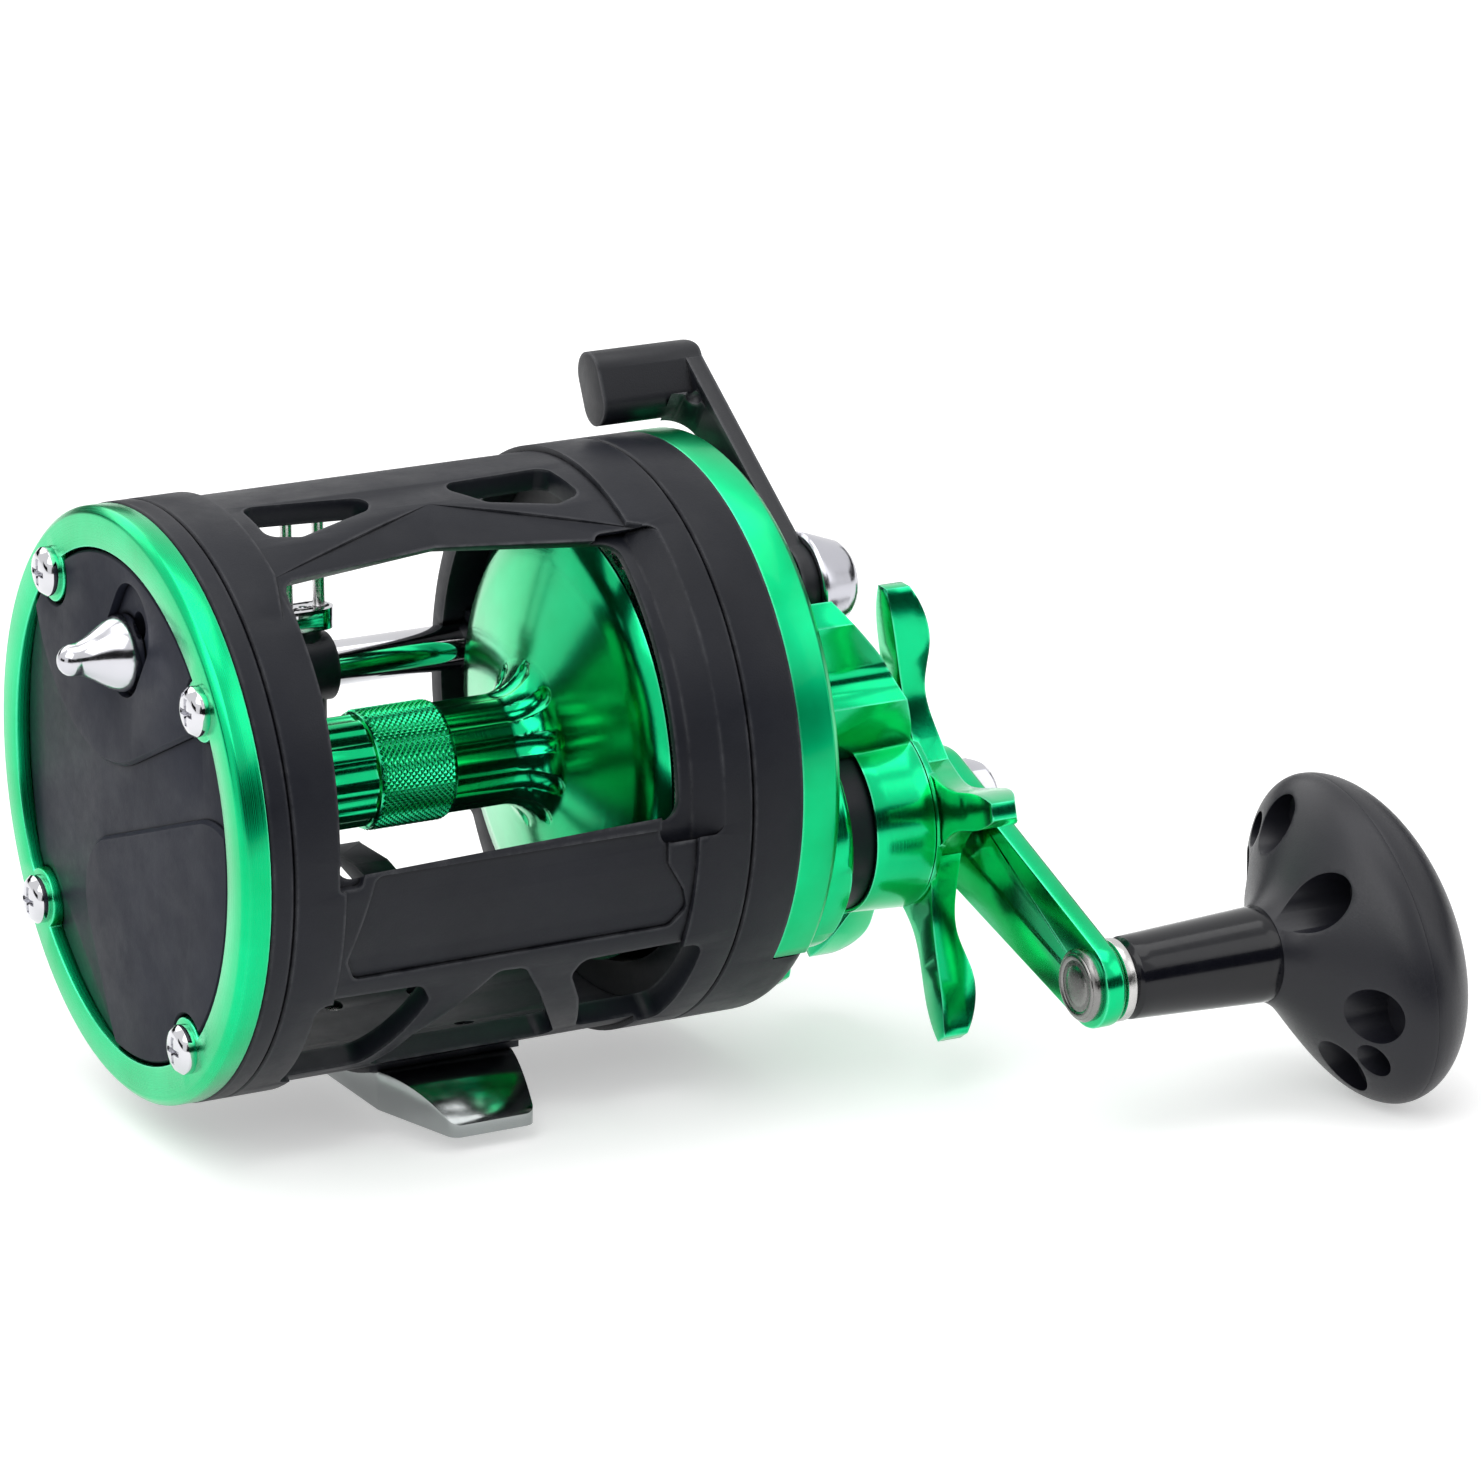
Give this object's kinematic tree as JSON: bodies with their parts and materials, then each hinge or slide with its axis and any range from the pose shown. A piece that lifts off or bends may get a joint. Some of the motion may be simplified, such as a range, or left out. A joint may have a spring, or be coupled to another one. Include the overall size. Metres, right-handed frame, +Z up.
{
  "type": "level-wind trolling reel",
  "caption": "Level-wind trolling reel with an open barrel frame, fluted metal spool, star drag, free-spool lever, offset crank handle with an oval grip knob and a flat rod foot.",
  "frame": {"origin": "middle of the flat underside of the reel foot", "axes": "+X along the spool axis towards the handle, +Y towards the rod tip, +Z up from the foot to the spool"},
  "size_m": [0.1525, 0.1082, 0.0829],
  "materials": {
    "green_anodised": "bright anodised",
    "graphite_black": "satin",
    "chrome_plate": "polished",
    "stainless": "satin",
    "gloss_black": "polished",
    "knob_black": "satin, lightly textured",
    "gear_brass": "machined",
    "nylon": "satin",
    "drag_fibre": "woven carbon fibre"
  },
  "bodies": {
    "base": {"main_frame": "graphite_black", "reel_foot": "chrome_plate", "foot_screws": "stainless", "left_side_plate": "graphite_black", "left_rim_ring": "green_anodised", "left_cover": "graphite_black", "left_plate_screws": "chrome_plate", "left_bearing": "stainless", "idler_stud": "stainless", "worm_bushes": "gear_brass", "guard_tube": "chrome_plate", "right_side_plate": "graphite_black", "right_rim_ring": "green_anodised", "gear_cover": "green_anodised", "bridge_plate": "stainless", "right_bearing": "stainless", "right_plate_screws": "chrome_plate", "bridge_screws": "stainless", "gear_cover_screws": "chrome_plate", "yoke_posts": "stainless", "yoke_springs": "stainless", "dog_pin": "stainless", "crank_bearing": "stainless"},
    "spool": {"spool": "green_anodised", "spool_shaft": "stainless", "drive_pin": "stainless", "click_gear": "stainless", "level_wind_drive_gear": "nylon"},
    "idler": {"idler_gear": "nylon"},
    "worm": {"worm_shaft": "stainless", "worm_gear": "nylon"},
    "carriage": {"line_guide": "graphite_black", "guide_bridge": "chrome_plate", "wire_guide": "stainless", "guide_pawl": "gear_brass", "pawl_cap": "gear_brass"},
    "click": {"click_button": "chrome_plate", "click_tongue": "stainless"},
    "yoke": {"clutch_yoke": "stainless"},
    "pinion": {"pinion": "gear_brass"},
    "lever": {"clutch_lever": "graphite_black", "clutch_cam": "stainless", "lever_cap_nut": "chrome_plate"},
    "dog": {"anti_reverse_dog": "stainless"},
    "crank": {"drive_shaft": "stainless", "main_gear": "gear_brass", "drag_washers_fibre": "drag_fibre", "drag_washers_metal": "stainless", "ratchet_wheel": "stainless", "spacer_sleeve": "stainless", "spring_washers": "stainless", "handle_arm": "green_anodised", "handle_nut": "chrome_plate", "knob_spindle": "stainless", "knob_washer": "stainless"},
    "star": {"star_drag": "green_anodised"},
    "knob": {"knob_shank": "gloss_black", "handle_knob": "knob_black", "knob_cap": "knob_black"}
  },
  "joints": [
    {"name": "crank_turn", "type": "hinge", "parent": "base", "child": "crank", "pos_m": [0, -0.01766, 0.02811], "axis": [1, 0, 0], "continuous": true},
    {"name": "spool_spin", "type": "hinge", "parent": "base", "child": "spool", "pos_m": [0, 0, 0.0375], "axis": [1, 0, 0], "continuous": true},
    {"name": "pinion_spin", "type": "hinge", "parent": "yoke", "child": "pinion", "pos_m": [0, 0, 0.0375], "axis": [1, 0, 0], "continuous": true},
    {"name": "idler_spin", "type": "hinge", "parent": "base", "child": "idler", "pos_m": [0, 0.01539, 0.03931], "axis": [1, 0, 0], "continuous": true},
    {"name": "worm_spin", "type": "hinge", "parent": "base", "child": "worm", "pos_m": [0, 0.03029, 0.04106], "axis": [1, 0, 0], "continuous": true},
    {"name": "line_guide_travel", "type": "slide", "parent": "base", "child": "carriage", "axis": [1, 0, 0], "range_m": [-0.0184, 0.0135]},
    {"name": "free_spool_lever", "type": "hinge", "parent": "base", "child": "lever", "pos_m": [0, -0.01672, 0.05749], "axis": [1, 0, 0], "range_deg": [0, 40]},
    {"name": "yoke_slide", "type": "slide", "parent": "base", "child": "yoke", "axis": [1, 0, 0], "range_m": [0, 0.0015], "deforming": ["yoke_springs"]},
    {"name": "star_turn", "type": "hinge", "parent": "crank", "child": "star", "pos_m": [0, -0.01766, 0.02811], "axis": [1, 0, 0], "range_deg": [-90, 270]},
    {"name": "knob_spin", "type": "hinge", "parent": "crank", "child": "knob", "pos_m": [0, -0.0537, 0.0164], "axis": [1, 0, 0], "continuous": true},
    {"name": "click_slide", "type": "slide", "parent": "base", "child": "click", "axis": [0, -0.5878, 0.809], "range_m": [0, 0.0046]},
    {"name": "dog_swing", "type": "hinge", "parent": "base", "child": "dog", "pos_m": [0, -0.02526, 0.04127], "axis": [1, 0, 0], "range_deg": [0, 15]}
  ],
  "couplings": [
    {"joint": "spool_spin", "follows": "crank_turn", "ratio": -1.7778},
    {"joint": "pinion_spin", "follows": "crank_turn", "ratio": -1.7778},
    {"joint": "idler_spin", "follows": "crank_turn", "ratio": 0.51852},
    {"joint": "worm_spin", "follows": "crank_turn", "ratio": -2.0741},
    {"joint": "yoke_slide", "follows": "free_spool_lever", "m_per_rad": 0.0021472}
  ]
}
